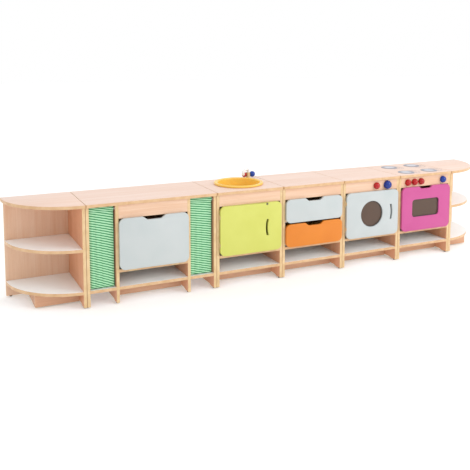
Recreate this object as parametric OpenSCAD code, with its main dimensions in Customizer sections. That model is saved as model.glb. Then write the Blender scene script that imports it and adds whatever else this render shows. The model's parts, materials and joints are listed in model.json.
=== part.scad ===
// Low play kitchen: a straight row of seven cabinets in beech-faced 18 mm board.
// From left to right: open end shelves, a cupboard between two curtained bays, a sink
// cupboard, two drawers, a washing machine, a cooker and a second set of end shelves.
// X runs along the row, -Y is the front, +Z is up. The origin is the bottom centre.

/* [Cabinets] */
// Width of each of the four equal cabinets
unit_w = 460; // [400:5:520]
// Width of the cabinet with the two curtained bays
wide_w = 800; // [700:10:900]
// Distance from that cabinet's outside to the middle of each divider
bay_w = 180; // [150:5:220]
// Height from floor to worktop
height = 600; // [500:10:700]
// Depth of the side panels
depth = 410; // [350:5:450]
// Thickness of every board
board_t = 18; // [15:1:20]
// Radius of the quarter-round end shelves
end_r = 392; // [340:2:420]
// Distance that the worktop stands out at the front
overhang = 15; // [5:1:25]

/* [Heights] */
// Underside of the bottom shelf
low_z = 82; // [60:1:110]
// Underside of the cupboard floor
floor_z = 185; // [160:1:230]
// Underside of the fascia
fascia_z = 510; // [480:1:530]
// Top of the middle shelf in the end units
mid_z = 346; // [300:1:400]
// Height of the glides under the feet
glide_h = 6; // [3:1:12]

/* [Fronts] */
// Overlap of each front onto the panel beside it
overlay = 1; // [0:1:8]
// Corner radius of the fronts
front_r = 34; // [10:1:40]
// Gap between a front and the carcass
front_gap = 1.5; // [1.3:0.1:3]
// Depth of the finger cut-outs
cut_h = 20; // [14:1:28]
// Radius of the washing machine's window
window_r = 89; // [70:1:110]
// Width of the oven window
oven_win_w = 236; // [180:2:280]
// Height of the oven window
oven_win_h = 124; // [90:2:160]

/* [Knobs] */
// Radius of the red knobs
red_r = 23; // [15:0.5:26]
// Radius of the washing machine's blue knob
blue_r = 29; // [20:0.5:32]
// Radius of the cooker's blue knob
cook_blue_r = 24; // [15:0.5:26]

/* [Sink] */
// Outer radius of the basin's rim
basin_r = 160; // [130:1:170]
// Depth of the basin below the worktop
basin_d = 110; // [80:1:150]
// Radius of the tap's post
post_r = 14; // [10:0.5:20]

/* [Hidden] */
$fn = 64;
gap = 1;
x3 = wide_w;
x4 = x3 + unit_w;
x5 = x4 + unit_w;
x6 = x5 + unit_w;
x7 = x6 + unit_w;
mid_x = x7 / 2;
knob_front = 1 + 1.2 * blue_r;
mid_y = (depth - knob_front) / 2;
top_z = height - board_t;
rail_top = floor_z + board_t;
back_t = 8;
back_y = depth - 14;
front_z0 = 201;
front_z1 = 512;
flap_z1 = 503;
front_w = unit_w - 2 * gap - 2 * board_t + 2 * overlay;
plinth_y = 120;
div_l = bay_w - board_t / 2;
div_r = wide_w - bay_w - board_t / 2;
flap_x0 = div_l + board_t - overlay;
flap_x1 = div_r + overlay;
pin_r = 1.75;
barrel_r = 3.5;
axis_y = -5;
spindle_r = 4;
run = 0.05;
sink_x = x3 + unit_w / 2;
drawer_x = x4 + unit_w / 2;
wash_x = x5 + unit_w / 2;
cook_x = x6 + unit_w / 2;
basin_x = sink_x + 15;
basin_y = 205;
tap_x = sink_x + 155;
tap_y = 350;
bar_z = height + 28;
post_h = 42;
swing = 45;
drawer_split = 355;
box_t = 12;
box_h = 96;
rod_r = 4;
rod_y = 20;
rod_z = 562;
clearance = 0.3;

// Moves a shape drawn from the first cabinet's left side to the part's own origin.
module placed() {
  translate([-mid_x, -mid_y, 0]) children();
}

// A board given by its two opposite corners.
module board(xa, xb, ya, yb, za, zb) {
  translate([xa, ya, za]) cube([xb - xa, yb - ya, zb - za]);
}

// A side panel: a full board on two feet with a shallow arch between them.
module side_panel(x) {
  difference() {
    translate([x, 0, 0]) rotate([90, 0, 90]) linear_extrude(board_t)
      polygon([
        [0, glide_h], [45, glide_h], [70, 14], [depth - 70, 14], [depth - 45, glide_h],
        [depth, glide_h], [depth, top_z], [0, top_z]
      ]);
    children();
  }
}

// Screw positions that join two neighbouring cabinets at x.
module joint_at(x) {
  for (y = [60, 340], z = [140, 490]) translate([x, y, z]) rotate([0, 90, 0]) children();
}

module joint_bores(x) {
  joint_at(x) translate([0, 0, -25]) cylinder(h = 50, r = 2.5);
}

// A rounded front board in the XZ plane, its back at the front gap.
module front_board(xa, xb, za, zb) {
  r = front_r;
  translate([0, -front_gap, 0]) rotate([90, 0, 0]) union() {
    translate([xa + r, za, 0]) cube([xb - xa - 2 * r, zb - za, board_t]);
    translate([xa, za + r, 0]) cube([xb - xa, zb - za - 2 * r, board_t]);
    for (x = [xa + r, xb - r], z = [za + r, zb - r])
      translate([x, z, 0]) cylinder(h = board_t, r = r);
  }
}

// The finger cut-out in a front's top edge.
module finger_cut(x, z, top_w, low_w, h) {
  translate([x, 5, z]) rotate([90, 0, 0]) linear_extrude(40)
    polygon([[-low_w / 2, -h], [low_w / 2, -h], [top_w / 2, 0], [top_w / 2, 5],
      [-top_w / 2, 5], [-top_w / 2, 0]]);
}

// A curved hand slot through a door, bowed to the right if side is 1, to the left if -1.
module hand_slot(x, z, side) {
  bow = 190;
  half = 7;
  translate([x, 5, z]) rotate([90, 0, 0]) intersection() {
    translate([-side * bow, 0, 0]) difference() {
      cylinder(h = 40, r = bow + half);
      translate([0, 0, -1]) cylinder(h = 42, r = bow - half);
    }
    translate([-30, -52, 0]) cube([60, 104, 40]);
  }
}

// The fixed half of a small butt hinge. Its pin is on local Z, its door on local +X.
module hinge_fixed() {
  translate([-11, -axis_y - 1.2, -24]) cube([15.5, 1.2, 48]);
  for (z = [-22, 10.3]) {
    translate([0, 0, z]) cylinder(h = 11.7, r = barrel_r);
    translate([-2, 0, z]) cube([4, -axis_y - 0.6, 11.7]);
  }
  translate([0, 0, -22]) cylinder(h = 44, r = pin_r);
}

// The moving half, with its barrel free to turn on the pin.
module hinge_moving() {
  difference() {
    union() {
      translate([0, 0, -10]) cylinder(h = 20, r = barrel_r);
      translate([0, -2, -10]) cube([4, 4, 20]);
      translate([3, -13, -10]) cube([1, 16, 20]);
    }
    translate([0, 0, -11]) cylinder(h = 22, r = pin_r + run);
  }
}

// Places a hinge on a door's left edge, twice up its height.
module on_left_edge(x) {
  for (z = [270, 443])
    translate([x + gap + board_t - overlay - 4, axis_y, z]) children();
}

// Places a hinge under a front's bottom edge, twice along its width.
module on_bottom_edge(x) {
  for (s = [-130, 130]) translate([x + s, axis_y, front_z0 - 4]) rotate([0, -90, 0]) children();
}

// A ball knob with a flat back, its spindle and its collar behind the fascia.
module knob(x, r) {
  translate([x, 0, (fascia_z + top_z) / 2]) rotate([90, 0, 0]) union() {
    intersection() {
      translate([0, 0, 1 + 0.2 * r]) sphere(r = r);
      translate([-r - 1, -r - 1, 1]) cube([2 * r + 2, 2 * r + 2, 2 * r]);
    }
    translate([0, 0, -22.3]) cylinder(h = 24.3, r = spindle_r);
    translate([0, 0, -22.3]) cylinder(h = 4, r = 8);
  }
}

module knob_bore(x) {
  translate([x, -1, (fascia_z + top_z) / 2]) rotate([-90, 0, 0])
    cylinder(h = board_t + 2, r = spindle_r + run);
}

// A worktop from xa to xb with small rounded front corners.
module worktop(xa, xb) {
  r = 9;
  translate([0, 0, top_z]) union() {
    translate([xa, -overhang + r, 0]) cube([xb - xa, depth + overhang - r, board_t]);
    translate([xa + r, -overhang, 0]) cube([xb - xa - 2 * r, 2 * r, board_t]);
    for (x = [xa + r, xb - r]) translate([x, -overhang + r, 0]) cylinder(h = board_t, r = r);
  }
}

// A quarter-round board to the left of x = 0.
module quarter_board(r, cy, x_end, y_end, z) {
  intersection() {
    translate([-gap, cy, z]) cylinder(h = board_t, r = r);
    translate([-r - 5, -overhang - 5, z]) cube([r + 5 + x_end, cy + overhang + 5, board_t]);
  }
  if (y_end > cy) translate([-gap - r, cy, z]) cube([r + gap + x_end, y_end - cy, board_t]);
}

// The same shape at the right end of the row.
module other_end() {
  translate([x7, 0, 0]) mirror([1, 0, 0]) children();
}

module end_back() {
  board(-gap - end_r, -gap - board_t, depth - board_t, depth, glide_h, top_z);
}

module end_shelves() {
  for (z = [low_z, mid_z - board_t])
    quarter_board(end_r, depth - board_t, -gap - board_t, 0, z);
}

module end_plinth() {
  board(-270, -gap - board_t, plinth_y, plinth_y + board_t, 8, low_z);
  board(-270, -270 + board_t, plinth_y + board_t, depth - board_t, 8, low_z);
}

module end_top() {
  quarter_board(408, depth - 17, -gap, depth, top_z);
}

module left_end_back() {
  color("burlywood") placed() end_back();
}

module left_end_shelves() {
  color("gainsboro") placed() end_shelves();
}

module left_end_plinth() {
  color("burlywood") placed() end_plinth();
}

module left_end_top() {
  color("bisque") placed() end_top();
}

module right_end_back() {
  color("burlywood") placed() other_end() end_back();
}

module right_end_shelves() {
  color("gainsboro") placed() other_end() end_shelves();
}

module right_end_plinth() {
  color("burlywood") placed() other_end() end_plinth();
}

module right_end_top() {
  color("bisque") placed() other_end() end_top();
}

module end_sides() {
  color("burlywood") placed() {
    side_panel(-gap - board_t) joint_bores(0);
    side_panel(x7 + gap) joint_bores(x7);
  }
}

module curtain_unit_panels() {
  color("burlywood") placed() {
    side_panel(gap) joint_bores(0);
    side_panel(div_l);
    side_panel(div_r);
    side_panel(x3 - gap - board_t) joint_bores(x3);
  }
}

module unit_sides() {
  color("burlywood") placed() for (x = [x3, x4, x5, x6]) {
    side_panel(x + gap) joint_bores(x);
    side_panel(x + unit_w - gap - board_t) joint_bores(x + unit_w);
  }
}

// One board between the panels of every cabinet, at height z.
module boards_between(ya, yb, za, zb) {
  in = gap + board_t;
  board(div_l + board_t, div_r, ya, yb, za, zb);
  for (x = [x3, x4, x5, x6]) board(x + in, x + unit_w - in, ya, yb, za, zb);
}

// The same for the two curtained bays.
module bay_boards(ya, yb, za, zb) {
  board(gap + board_t, div_l, ya, yb, za, zb);
  board(div_r + board_t, x3 - gap - board_t, ya, yb, za, zb);
}

module bottom_shelves() {
  color("gainsboro") placed() {
    boards_between(0, back_y, low_z, low_z + board_t);
    bay_boards(0, back_y, low_z, low_z + board_t);
  }
}

module cupboard_floors() {
  color("gainsboro") placed() boards_between(0, back_y, floor_z, rail_top);
}

module plinths() {
  color("burlywood") placed()
    boards_between(plinth_y, plinth_y + board_t, 8, low_z);
}

module back_boards() {
  color("burlywood") placed() {
    boards_between(back_y, back_y + back_t, low_z, top_z);
    bay_boards(back_y, back_y + back_t, low_z, top_z);
  }
}

module plain_fascias() {
  in = gap + board_t;
  color("burlywood") placed() {
    board(div_l + board_t, div_r, 0, board_t, flap_z1 - 2, top_z);
    for (x = [x3, x4]) board(x + in, x + unit_w - in, 0, board_t, fascia_z, top_z);
  }
}

module washer_fascia() {
  in = gap + board_t;
  color("burlywood") placed() difference() {
    board(x5 + in, x6 - in, 0, board_t, fascia_z, top_z);
    knob_bore(wash_x + 36);
    knob_bore(wash_x + 126);
  }
}

module cooker_fascia() {
  in = gap + board_t;
  color("burlywood") placed() difference() {
    board(x6 + in, x7 - in, 0, board_t, fascia_z, top_z);
    for (s = [-156, -98, -40, 156]) knob_bore(cook_x + s);
  }
}

module curtain_unit_top() {
  color("bisque") placed() worktop(gap, x3 - gap);
}

module sink_top() {
  color("bisque") placed() difference() {
    worktop(x3 + gap, x4 - gap);
    translate([basin_x, basin_y, top_z - 1]) cylinder(h = board_t + 2, r = basin_r - 19);
  }
}

module drawer_top() {
  color("bisque") placed() worktop(x4 + gap, x5 - gap);
}

module washer_top() {
  color("bisque") placed() worktop(x5 + gap, x6 - gap);
}

module cooker_top() {
  color("bisque") placed() worktop(x6 + gap, x7 - gap);
}

module glides() {
  h = board_t / 2;
  color("black") placed() {
    for (x = [-gap - h, gap + h, div_l + h, div_r + h, x3 - gap - h, x7 + gap + h])
      for (y = [22, depth - 22]) translate([x, y, 0]) cylinder(h = glide_h, r = 8);
    for (u = [x3, x4, x5, x6], x = [u + gap + h, u + unit_w - gap - h])
      for (y = [22, depth - 22]) translate([x, y, 0]) cylinder(h = glide_h, r = 8);
    for (x = [25 - end_r, x7 + end_r - 25])
      translate([x, depth - h, 0]) cylinder(h = glide_h, r = 8);
  }
}

module connecting_screws() {
  color("silver") placed() for (x = [0, x3, x4, x5, x6, x7]) joint_at(x) {
    translate([0, 0, -gap - board_t]) cylinder(h = 2 * board_t + 2 * gap, r = 2.5);
    translate([0, 0, gap + board_t]) cylinder(h = 3, r = 6);
  }
}

// A curtain rod with its two end flanges between two panels.
module rod(xa, xb) {
  translate([xa, rod_y, rod_z]) rotate([0, 90, 0]) {
    cylinder(h = xb - xa, r = rod_r);
    cylinder(h = 3, r = 9);
    translate([0, 0, xb - xa - 3]) cylinder(h = 3, r = 9);
  }
}

// A hanging curtain, as the space that its folds take up, with the rod's pocket.
module curtain(xa, xb) {
  difference() {
    board(xa, xb, rod_y - 8, rod_y + 8, low_z + board_t + 2, top_z - 6);
    translate([xa - 1, rod_y, rod_z]) rotate([0, 90, 0])
      cylinder(h = xb - xa + 2, r = rod_r + 0.6);
  }
}

// The ring that leads the curtain's free edge along the rod.
module curtain_ring(x) {
  translate([x, rod_y, rod_z]) rotate([0, 90, 0]) difference() {
    cylinder(h = 3, r = 9);
    translate([0, 0, -1]) cylinder(h = 5, r = rod_r + 0.3);
  }
}

module curtain_rods() {
  color("silver") placed() {
    rod(gap + board_t, div_l);
    rod(div_r + board_t, x3 - gap - board_t);
  }
}

module left_curtain() {
  color("mediumseagreen") placed() curtain(gap + board_t + 3.5, div_l - 7.5);
}

module left_curtain_ring() {
  color("silver") placed() curtain_ring(div_l - 7);
}

module right_curtain() {
  color("mediumseagreen") placed() curtain(div_r + board_t + 3.5, x3 - gap - board_t - 7.5);
}

module right_curtain_ring() {
  color("silver") placed() curtain_ring(x3 - gap - board_t - 7);
}

module carcass_hinges() {
  color("silver") placed() {
    for (x = [x3, x5]) on_left_edge(x) hinge_fixed();
    for (x = [wide_w / 2, cook_x]) on_bottom_edge(x) hinge_fixed();
  }
}

module flap() {
  color("lightgray") placed() difference() {
    front_board(flap_x0, flap_x1, front_z0, flap_z1);
    finger_cut(wide_w / 2, flap_z1, 142, 84, cut_h);
  }
}

module flap_hinge() {
  color("silver") placed() on_bottom_edge(wide_w / 2) hinge_moving();
}

module sink_door() {
  color("yellowgreen") placed() difference() {
    front_board(sink_x - front_w / 2, sink_x + front_w / 2, front_z0, front_z1);
    hand_slot(sink_x + 107, 352, -1);
    translate([sink_x + 109, 0, front_z1 - 10]) rotate([90, 0, 0]) cylinder(h = 30, r = 7);
  }
}

module sink_door_hinge() {
  color("silver") placed() on_left_edge(x3) hinge_moving();
}

module door_lock() {
  color("darkkhaki") placed() translate([sink_x + 109, 0, front_z1 - 10]) difference() {
    translate([0, -front_gap, 0]) rotate([90, 0, 0]) cylinder(h = board_t, r = 7);
    translate([-1, -25, -4]) cube([2, 8, 8]);
  }
}

module washer_door() {
  color("lightgray") placed() difference() {
    front_board(wash_x - front_w / 2, wash_x + front_w / 2, front_z0, front_z1);
    translate([wash_x - 8, 0, 358]) rotate([90, 0, 0]) cylinder(h = 30, r = window_r);
    translate([wash_x - 8, 0, 358]) rotate([90, 0, 0])
      cylinder(h = front_gap + 6, r = window_r + 10);
    hand_slot(wash_x + 156, 359, 1);
  }
}

module washer_door_hinge() {
  color("silver") placed() on_left_edge(x5) hinge_moving();
}

module washer_window() {
  color("saddlebrown", 0.6) placed() translate([wash_x - 8, -front_gap - 2, 358])
    rotate([90, 0, 0]) cylinder(h = 4, r = window_r + 9.5);
}

// The oven window's opening, rounded at its corners.
module oven_hole(t) {
  r = 22;
  rotate([90, 0, 0]) union() {
    translate([-oven_win_w / 2 + r, -oven_win_h / 2, 0])
      cube([oven_win_w - 2 * r, oven_win_h, t]);
    translate([-oven_win_w / 2, -oven_win_h / 2 + r, 0])
      cube([oven_win_w, oven_win_h - 2 * r, t]);
    for (x = [-1, 1], z = [-1, 1])
      translate([x * (oven_win_w / 2 - r), z * (oven_win_h / 2 - r), 0])
        cylinder(h = t, r = r);
  }
}

module oven_door() {
  w = oven_win_w + 20;
  h = oven_win_h + 20;
  color("hotpink") placed() difference() {
    front_board(cook_x - front_w / 2, cook_x + front_w / 2, front_z0, front_z1);
    translate([cook_x - 6, 0, 360]) oven_hole(30);
    translate([cook_x - 6 - w / 2, -front_gap - 6, 360 - h / 2]) cube([w, 10, h]);
    finger_cut(cook_x - 6, front_z1, 120, 80, 16);
  }
}

module oven_door_hinge() {
  color("silver") placed() on_bottom_edge(cook_x) hinge_moving();
}

module oven_window() {
  w = oven_win_w + 19;
  h = oven_win_h + 19;
  color("saddlebrown", 0.6) placed()
    translate([cook_x - 6 - w / 2, -front_gap - 6, 360 - h / 2]) cube([w, 4, h]);
}

// The two runners of a drawer whose box stands at height z.
module runners(z) {
  for (s = [0, 1]) translate([drawer_x, 0, z]) mirror([s, 0, 0])
    translate([unit_w / 2 - gap - board_t, 0, 0]) {
      translate([-2, 4, -3.3]) cube([2, 356, 34]);
      translate([-16, 4, -3.3]) cube([15, 356, 3]);
    }
}

module drawer_runners() {
  color("silver") placed() {
    runners(366);
    runners(214);
  }
}

// A drawer's open-topped box.
module drawer_box(z) {
  w = unit_w - 2 * gap - 2 * board_t - 6;
  translate([drawer_x, 0, z]) difference() {
    translate([-w / 2, -front_gap, 0]) cube([w, 360, box_h]);
    translate([-w / 2 + box_t, box_t - front_gap, 8])
      cube([w - 2 * box_t, 360 - 2 * box_t, box_h]);
  }
}

module drawer_front(za, zb) {
  difference() {
    front_board(drawer_x - front_w / 2, drawer_x + front_w / 2, za, zb);
    finger_cut(drawer_x, zb, 140, 88, cut_h);
  }
}

module upper_drawer_front() {
  color("lightgray") placed() drawer_front(drawer_split + 4.5, front_z1);
}

module upper_drawer_box() {
  color("wheat") placed() drawer_box(366);
}

module lower_drawer_front() {
  color("orange") placed() drawer_front(front_z0, drawer_split - 4.5);
}

module lower_drawer_box() {
  color("wheat") placed() drawer_box(214);
}

// A round basin with a flat rim that lies on the worktop.
module basin() {
  inner = basin_r - 24.5;
  wall = 3.5;
  bend = 48;
  lip = 7.5;
  color("gold") placed() translate([basin_x, basin_y, height]) rotate_extrude() union() {
    translate([inner, 0]) square([basin_r - lip - inner, lip]);
    translate([inner + lip, 0]) square([basin_r - 2 * lip - inner, 2 * lip]);
    for (x = [inner + lip, basin_r - lip]) translate([x, lip]) circle(r = lip);
    translate([inner, bend - basin_d]) square([wall, basin_d - bend + 1]);
    translate([0, -basin_d]) square([inner + wall - bend, wall]);
    translate([inner + wall - bend, bend - basin_d]) intersection() {
      difference() {
        circle(r = bend);
        circle(r = bend - wall);
      }
      translate([0, -bend]) square([bend, bend]);
    }
  }
}

module tap_post() {
  color("tan") placed() translate([tap_x, tap_y, height]) difference() {
    union() {
      cylinder(h = 4, r = post_r + 8);
      cylinder(h = post_h, r = post_r);
    }
    translate([-30, 0, bar_z - height]) rotate([0, 90, 0])
      cylinder(h = 60, r = spindle_r + run);
    translate([0, 0, bar_z - height + spindle_r + 1]) cylinder(h = 30, r = 4 + run);
  }
}

// The spout: a peg in the post, a bend, a straight tube and a bend down to the outlet.
module tap_spout() {
  tube = 9;
  rise = 18;
  drop = 17;
  reach = 62;
  color("whitesmoke") placed() translate([tap_x, tap_y, height + post_h + clearance])
    rotate([0, 0, -swing]) difference() {
      union() {
        translate([0, 0, -8]) cylinder(h = 10, r = 4);
        cylinder(h = 6, r = tube);
        translate([0, -rise, 6]) rotate([90, 0, 90]) rotate_extrude(angle = 90)
          translate([rise, 0]) circle(r = tube);
        translate([0, -rise, 6 + rise]) rotate([90, 0, 0]) cylinder(h = reach, r = tube);
        translate([0, -rise - reach, 6 + rise - drop]) mirror([0, 1, 0]) rotate([90, 0, 90])
          rotate_extrude(angle = 90) translate([drop, 0]) circle(r = tube);
        translate([0, -rise - reach - drop, rise - drop - 6]) cylinder(h = 12, r = tube);
      }
      translate([0, -rise - reach - drop, rise - drop - 7]) cylinder(h = 10, r = tube - 3);
    }
}

// A ball knob on one side of the tap's post, with its spindle in the post.
module tap_knob(r, side) {
  translate([tap_x, tap_y, bar_z]) rotate([0, side * 90, 0]) union() {
    intersection() {
      translate([0, 0, post_r + 1 + 0.8 * r]) sphere(r = r);
      translate([-r - 1, -r - 1, post_r + 1]) cube([2 * r + 2, 2 * r + 2, 2 * r]);
    }
    translate([0, 0, 3]) cylinder(h = post_r + 2, r = spindle_r);
  }
}

module red_tap_knob() {
  color("crimson") placed() tap_knob(17, -1);
}

module blue_tap_knob() {
  color("royalblue") placed() tap_knob(20, 1);
}

module washer_red_knob() {
  color("crimson") placed() knob(wash_x + 36, red_r);
}

module washer_blue_knob() {
  color("royalblue") placed() knob(wash_x + 126, blue_r);
}

module cooker_knob_1() {
  color("crimson") placed() knob(cook_x - 156, red_r);
}

module cooker_knob_2() {
  color("crimson") placed() knob(cook_x - 98, red_r);
}

module cooker_knob_3() {
  color("crimson") placed() knob(cook_x - 40, red_r);
}

module cooker_blue_knob() {
  color("royalblue") placed() knob(cook_x + 156, cook_blue_r);
}

module hob_discs() {
  color("darkgray") placed() {
    for (s = [-84, 122]) translate([cook_x + s, 300, height]) cylinder(h = 2, r = 58);
    for (s = [-102, 102]) translate([cook_x + s, 84, height]) cylinder(h = 2, r = 58);
  }
}

left_end_back();
left_end_shelves();
left_end_plinth();
left_end_top();
right_end_back();
right_end_shelves();
right_end_plinth();
right_end_top();
end_sides();
curtain_unit_panels();
unit_sides();
bottom_shelves();
cupboard_floors();
plinths();
back_boards();
plain_fascias();
washer_fascia();
cooker_fascia();
curtain_unit_top();
sink_top();
drawer_top();
washer_top();
cooker_top();
glides();
connecting_screws();
curtain_rods();
left_curtain();
left_curtain_ring();
right_curtain();
right_curtain_ring();
carcass_hinges();
flap();
flap_hinge();
sink_door();
sink_door_hinge();
door_lock();
washer_door();
washer_door_hinge();
washer_window();
oven_door();
oven_door_hinge();
oven_window();
drawer_runners();
upper_drawer_front();
upper_drawer_box();
lower_drawer_front();
lower_drawer_box();
basin();
tap_post();
tap_spout();
red_tap_knob();
blue_tap_knob();
washer_red_knob();
washer_blue_knob();
cooker_knob_1();
cooker_knob_2();
cooker_knob_3();
cooker_blue_knob();
hob_discs();
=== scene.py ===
# Low play kitchen: the looks of its boards, fronts, curtains, basin, tap, knobs and fittings.
# Every length is in metres in the row's own frame: +X along the row, -Y the front, +Z up.
import json
import math

import bmesh
import bpy
from bpy.props import (
    FloatProperty,
    FloatVectorProperty,
    IntProperty,
    PointerProperty,
)
from mathutils import Matrix, Vector

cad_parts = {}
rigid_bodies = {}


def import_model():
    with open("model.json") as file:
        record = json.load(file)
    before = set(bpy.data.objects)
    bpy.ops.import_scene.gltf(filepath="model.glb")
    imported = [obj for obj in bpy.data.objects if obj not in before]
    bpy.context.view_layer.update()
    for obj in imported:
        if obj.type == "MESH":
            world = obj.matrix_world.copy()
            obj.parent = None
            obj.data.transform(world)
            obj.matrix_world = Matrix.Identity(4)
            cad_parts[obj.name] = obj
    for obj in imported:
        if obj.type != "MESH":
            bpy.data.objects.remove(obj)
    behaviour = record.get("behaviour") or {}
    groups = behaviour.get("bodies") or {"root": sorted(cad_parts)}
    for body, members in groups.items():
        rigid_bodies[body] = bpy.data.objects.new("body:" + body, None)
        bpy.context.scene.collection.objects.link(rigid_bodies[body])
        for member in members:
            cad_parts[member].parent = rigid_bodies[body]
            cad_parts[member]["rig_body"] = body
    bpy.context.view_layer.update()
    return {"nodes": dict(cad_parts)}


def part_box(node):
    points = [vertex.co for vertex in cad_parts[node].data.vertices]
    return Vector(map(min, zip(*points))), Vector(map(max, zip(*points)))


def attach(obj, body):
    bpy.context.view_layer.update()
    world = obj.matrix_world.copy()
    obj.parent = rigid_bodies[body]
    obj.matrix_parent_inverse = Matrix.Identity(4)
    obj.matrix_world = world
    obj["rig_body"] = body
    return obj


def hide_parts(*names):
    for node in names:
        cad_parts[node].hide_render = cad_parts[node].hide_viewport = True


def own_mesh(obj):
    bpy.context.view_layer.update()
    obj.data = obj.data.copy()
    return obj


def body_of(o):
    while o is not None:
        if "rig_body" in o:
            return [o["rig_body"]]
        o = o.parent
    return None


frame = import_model()

bl_info = {
    "name": "Play kitchen row",
    "version": (1, 0, 0),
    "blender": (4, 5, 0),
    "location": "3D View > Sidebar > Play kitchen",
    "description": "Builds the finished pieces of a low play kitchen round its CAD frame",
    "category": "Add Mesh",
}

MM = 0.001
EASED = 25  # degrees; a sharper fold than this keeps its crease when shaded
SIDE, FRONT, FLAT = 0, 1, 2  # the axis that a board's broad faces look along
MIDDLE_ROW = 40  # the row of a curtain's cloth whose length is taken as its flat width


# ---------------------------------------------------------------- materials


def paint(code):
    """An sRGB hex value as the linear colour that the shaders take."""
    parts = [int(code[i : i + 2], 16) / 255 for i in (1, 3, 5)]
    return (*[c / 12.92 if c <= 0.04045 else ((c + 0.055) / 1.055) ** 2.4 for c in parts], 1.0)


def add(tree, kind, feeds=None, **settings):
    """Adds one node with its settings, and fills or links its sockets from feeds."""
    made = tree.nodes.new(kind)
    for key, value in settings.items():
        setattr(made, key, value)
    for key, value in (feeds or {}).items():
        if isinstance(value, bpy.types.NodeSocket):
            tree.links.new(value, made.inputs[key])
        else:
            made.inputs[key].default_value = value
    return made


def finish_of(name, **constants):
    """A new material with constant shader values; an underscore stands for a space."""
    made = bpy.data.materials.new(name)
    made.use_nodes = True
    shader = made.node_tree.nodes["Principled BSDF"]
    for key, value in constants.items():
        shader.inputs[key.replace("_", " ")].default_value = value
    return made, made.node_tree, shader


def feed(tree, shader, **outputs):
    """Links node outputs into the shader's sockets; an underscore stands for a space."""
    for key, value in outputs.items():
        tree.links.new(value, shader.inputs[key.replace("_", " ")])


def beech_foil(name, light, dark, grain, shine=0.45):
    """Beech-print melamine foil, hot-pressed on chipboard."""
    # Printed and pressed flat: fine streaks and short flecks along the grain under one even
    # satin film, with no pores to feel and hardly any gloss.
    made, tree, shader = finish_of(name, Roughness=shine, IOR=1.5, Specular_IOR_Level=0.4)
    place = add(tree, "ShaderNodeTexCoord").outputs["Object"]
    board = add(tree, "ShaderNodeAttribute", attribute_name="board").outputs["Fac"]
    seed = add(tree, "ShaderNodeMath", {0: board, 1: 41.0}, operation="MULTIPLY").outputs[0]
    # Streaks 6 mm wide and 300 mm long; clouds 70 mm by 900 mm; the real flecks are 0.3 mm
    # by 2 mm and are drawn 1.6 mm by 14 mm so that they show.
    looks = []
    for wide, long, detail in ((6, 300, 4.0), (70, 900, 2.0), (1.6, 14, 1.0)):
        scale = [1000 / wide] * 3
        scale[grain] = 1000 / long
        at = add(tree, "ShaderNodeMapping", {"Vector": place, "Scale": scale}).outputs[0]
        looks.append(
            add(
                tree,
                "ShaderNodeTexNoise",
                {"Vector": at, "W": seed, "Scale": 1.0, "Detail": detail, "Roughness": 0.6},
                noise_dimensions="4D",
            ).outputs["Fac"]
        )
    streak, cloud, fleck = looks
    mixed = add(tree, "ShaderNodeMath", {0: streak, 1: cloud}, operation="ADD").outputs[0]
    share = add(
        tree, "ShaderNodeMapRange",
        {"Value": mixed, "From Min": 0.72, "From Max": 1.3, "To Min": 0.0, "To Max": 1.0},
    ).outputs[0]
    grainy = add(
        tree, "ShaderNodeMix", {0: share, 6: light, 7: dark}, data_type="RGBA"
    ).outputs[2]
    dash = add(
        tree, "ShaderNodeMapRange",
        {"Value": fleck, "From Min": 0.63, "From Max": 0.72, "To Min": 1.0, "To Max": 0.9},
    ).outputs[0]
    tone = add(
        tree, "ShaderNodeMapRange",
        {"Value": board, "From Min": 0.0, "From Max": 1.0, "To Min": 0.975, "To Max": 1.0},
    ).outputs[0]
    both = add(tree, "ShaderNodeMath", {0: dash, 1: tone}, operation="MULTIPLY").outputs[0]
    colour = add(tree, "ShaderNodeVectorMath", {0: grainy, 3: both}, operation="SCALE").outputs[0]
    rough = add(
        tree, "ShaderNodeMapRange",
        {"Value": streak, "From Min": 0.3, "From Max": 0.7, "To Min": shine - 0.04,
         "To Max": shine + 0.05},
    ).outputs[0]
    bump = add(tree, "ShaderNodeBump", {"Height": streak, "Strength": 0.25, "Distance": 0.0002})
    feed(tree, shader, Base_Color=colour, Roughness=rough, Normal=bump.outputs[0])
    return made


def edge_tape(name, light, dark):
    """ABS edge tape, glued round the boards and rounded by the edging machine."""
    # Extruded plastic with a thin printed grain: a little yellower and shinier than the foil,
    # and nearly plain.
    made, tree, shader = finish_of(name, Roughness=0.38, IOR=1.52, Specular_IOR_Level=0.45)
    place = add(tree, "ShaderNodeTexCoord").outputs["Object"]
    board = add(tree, "ShaderNodeAttribute", attribute_name="board").outputs["Fac"]
    # Clouds 40 mm long, with a faint 3 mm ripple from the tape's rollers.
    cloud = add(
        tree, "ShaderNodeTexNoise",
        {"Vector": place, "W": board, "Scale": 25.0, "Detail": 3.0}, noise_dimensions="4D",
    ).outputs["Fac"]
    ripple = add(
        tree, "ShaderNodeTexNoise", {"Vector": place, "Scale": 330.0, "Detail": 1.0}
    ).outputs["Fac"]
    share = add(
        tree, "ShaderNodeMapRange", {"Value": cloud, "From Min": 0.35, "From Max": 0.65}
    ).outputs[0]
    colour = add(
        tree, "ShaderNodeMix", {0: share, 6: light, 7: dark}, data_type="RGBA"
    ).outputs[2]
    bump = add(tree, "ShaderNodeBump", {"Height": ripple, "Strength": 0.2, "Distance": 0.0001})
    feed(tree, shader, Base_Color=colour, Normal=bump.outputs[0])
    return made


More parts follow.
